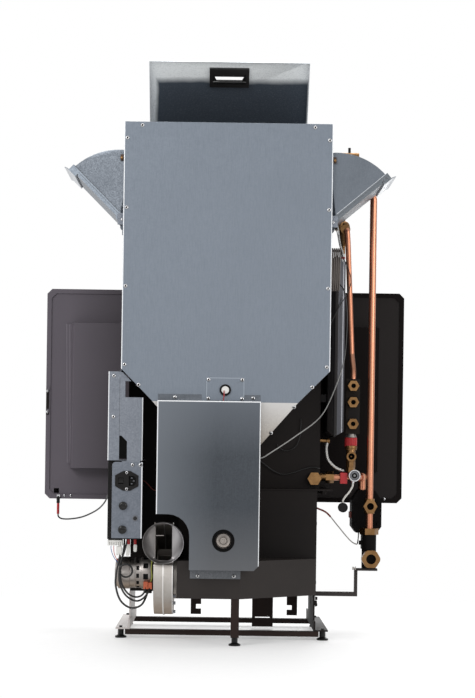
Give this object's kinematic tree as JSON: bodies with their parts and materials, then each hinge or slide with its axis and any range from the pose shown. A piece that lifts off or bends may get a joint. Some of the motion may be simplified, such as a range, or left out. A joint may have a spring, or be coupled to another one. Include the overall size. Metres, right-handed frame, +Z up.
{
  "type": "hydro fireplace",
  "caption": "Pellet hydro fireplace insert seen as a bare chassis: hopper with lid and tilting side chutes, auger drive, fume fan, boiler with fire door, water fittings and stand.",
  "frame": {"origin": "on the floor, under the middle of the bounding box without the free cables", "axes": "+X right seen from behind, +Y from the rear towards the fire door, +Z up"},
  "size_m": [0.96, 0.572, 1.4461],
  "materials": {
    "galvanised": "galvanised sheet with fine spangle",
    "funnel_sheet": "galvanised sheet, satin",
    "black_paint": "matt black heat-proof paint",
    "surround_paint": "satin powder coat, near black",
    "stand_paint": "dark brown-grey paint",
    "cast_black": "black cast iron",
    "grey_steel": "plain steel",
    "bright_steel": "zinc-plated steel",
    "cast_aluminium": "die-cast aluminium",
    "vessel_grey": "light grey paint",
    "door_glass": "heat-proof glass ceramic, smoked",
    "rope_gasket": "glass-fibre rope",
    "black_rubber": "black rubber",
    "black_plastic": "black moulded plastic",
    "white_plastic": "white moulded plastic",
    "red_plastic": "red moulded plastic",
    "mixed_tap": "red moulded plastic with a bright ring",
    "copper": "bare copper tube",
    "brass": "bare machined brass",
    "cable_grey": "grey cable sheath"
  },
  "bodies": {
    "stove": {"hopper_shell": "galvanised", "hopper_rear_panel": "galvanised", "hopper_top": "galvanised", "sensor_plate": "galvanised", "auger_cover": "galvanised", "control_bracket": "galvanised", "inlet_plate": "galvanised", "hopper_funnel": "funnel_sheet", "base_body": "black_paint", "shelf_flange": "black_paint", "boiler_shell": "black_paint", "port_strip": "black_paint", "auger_tube": "black_paint", "front_surround": "surround_paint", "surround_rear_box": "surround_paint", "stand_left": "stand_paint", "stand_right": "stand_paint", "stand_rails": "stand_paint", "hanging_brackets": "stand_paint", "firebox_liner": "cast_black", "burner_retort": "cast_black", "circulation_pump": "cast_black", "exchanger_tubes": "grey_steel", "flue_spigot": "grey_steel", "gearmotor": "grey_steel", "hopper_screws": "bright_steel", "chute_hinges": "bright_steel", "flexible_hoses": "bright_steel", "fan_volute": "cast_aluminium", "fan_motor": "cast_aluminium", "expansion_vessel": "vessel_grey", "cover_ring": "black_rubber", "levelling_feet": "black_rubber", "cable_leads": "black_rubber", "control_box": "black_plastic", "power_inlet": "black_plastic", "reset_caps": "black_plastic", "level_sensor": "white_plastic", "drain_tap": "mixed_tap", "copper_pipes": "copper", "brass_fittings": "brass", "safety_valve": "brass", "cable_hank": "cable_grey"},
    "lid": {"hopper_lid": "galvanised", "lid_grip": "black_plastic"},
    "left_chute": {"chute_left": "galvanised"},
    "right_chute": {"chute_right": "galvanised"},
    "fire_door": {"fire_door_frame": "cast_black", "fire_door_glass": "door_glass", "door_gasket": "rope_gasket"},
    "handle": {"door_handle": "bright_steel"},
    "drawer": {"ash_drawer": "grey_steel"},
    "auger": {"auger_shaft": "bright_steel", "auger_screw": "grey_steel"},
    "impeller": {"fan_impeller": "cast_aluminium"},
    "rocker": {"rocker_switch": "black_plastic"},
    "reset": {"reset_button": "red_plastic"},
    "relief_cap": {"valve_cap": "red_plastic"},
    "scraper": {"tube_scraper": "grey_steel"},
    "pot": {"burn_pot": "cast_black"}
  },
  "joints": [
    {"name": "lid_hinge", "type": "hinge", "parent": "stove", "child": "lid", "pos_m": [0, -0.032, 1.278], "axis": [-1, 0, 0], "range_deg": [-53, 35]},
    {"name": "left_chute_hinge", "type": "hinge", "parent": "stove", "child": "left_chute", "pos_m": [-0.264, -0.137, 1.042], "axis": [0, 1, 0], "range_deg": [0, 45]},
    {"name": "right_chute_hinge", "type": "hinge", "parent": "stove", "child": "right_chute", "pos_m": [0.264, -0.137, 1.042], "axis": [0, -1, 0], "range_deg": [0, 50]},
    {"name": "fire_door_hinge", "type": "hinge", "parent": "stove", "child": "fire_door", "pos_m": [-0.302, 0.263, 0.638], "axis": [0, 0, 1], "range_deg": [0, 100]},
    {"name": "door_handle_turn", "type": "hinge", "parent": "fire_door", "child": "handle", "pos_m": [0.264, 0.263, 0.638], "axis": [0, 1, 0], "range_deg": [0, 45]},
    {"name": "ash_drawer_slide", "type": "slide", "parent": "stove", "child": "drawer", "axis": [0, 1, 0], "range_m": [0, 0.2]},
    {"name": "auger_spin", "type": "hinge", "parent": "stove", "child": "auger", "pos_m": [0, -0.2, 0.258], "axis": [0, 1, 0], "continuous": true},
    {"name": "fan_spin", "type": "hinge", "parent": "stove", "child": "impeller", "pos_m": [-0.145, -0.138, 0.168], "axis": [1, 0, 0], "continuous": true},
    {"name": "rocker_tilt", "type": "hinge", "parent": "stove", "child": "rocker", "pos_m": [-0.2515, -0.2265, 0.398], "axis": [1, 0, 0], "range_deg": [0, 16]},
    {"name": "reset_push", "type": "slide", "parent": "stove", "child": "reset", "axis": [0, 1, 0], "range_m": [0, 0.002], "stiffness_N_per_m": 600},
    {"name": "relief_cap_turn", "type": "hinge", "parent": "stove", "child": "relief_cap", "pos_m": [0.326, -0.008, 0.5], "axis": [0, 0, 1], "range_deg": [0, 90]},
    {"name": "scraper_lift", "type": "slide", "parent": "stove", "child": "scraper", "axis": [0, 0, 1], "range_m": [0, 0.03]},
    {"name": "burn_pot_lift", "type": "slide", "parent": "stove", "child": "pot", "axis": [0, 0, 1], "range_m": [0, 0.06]}
  ]
}
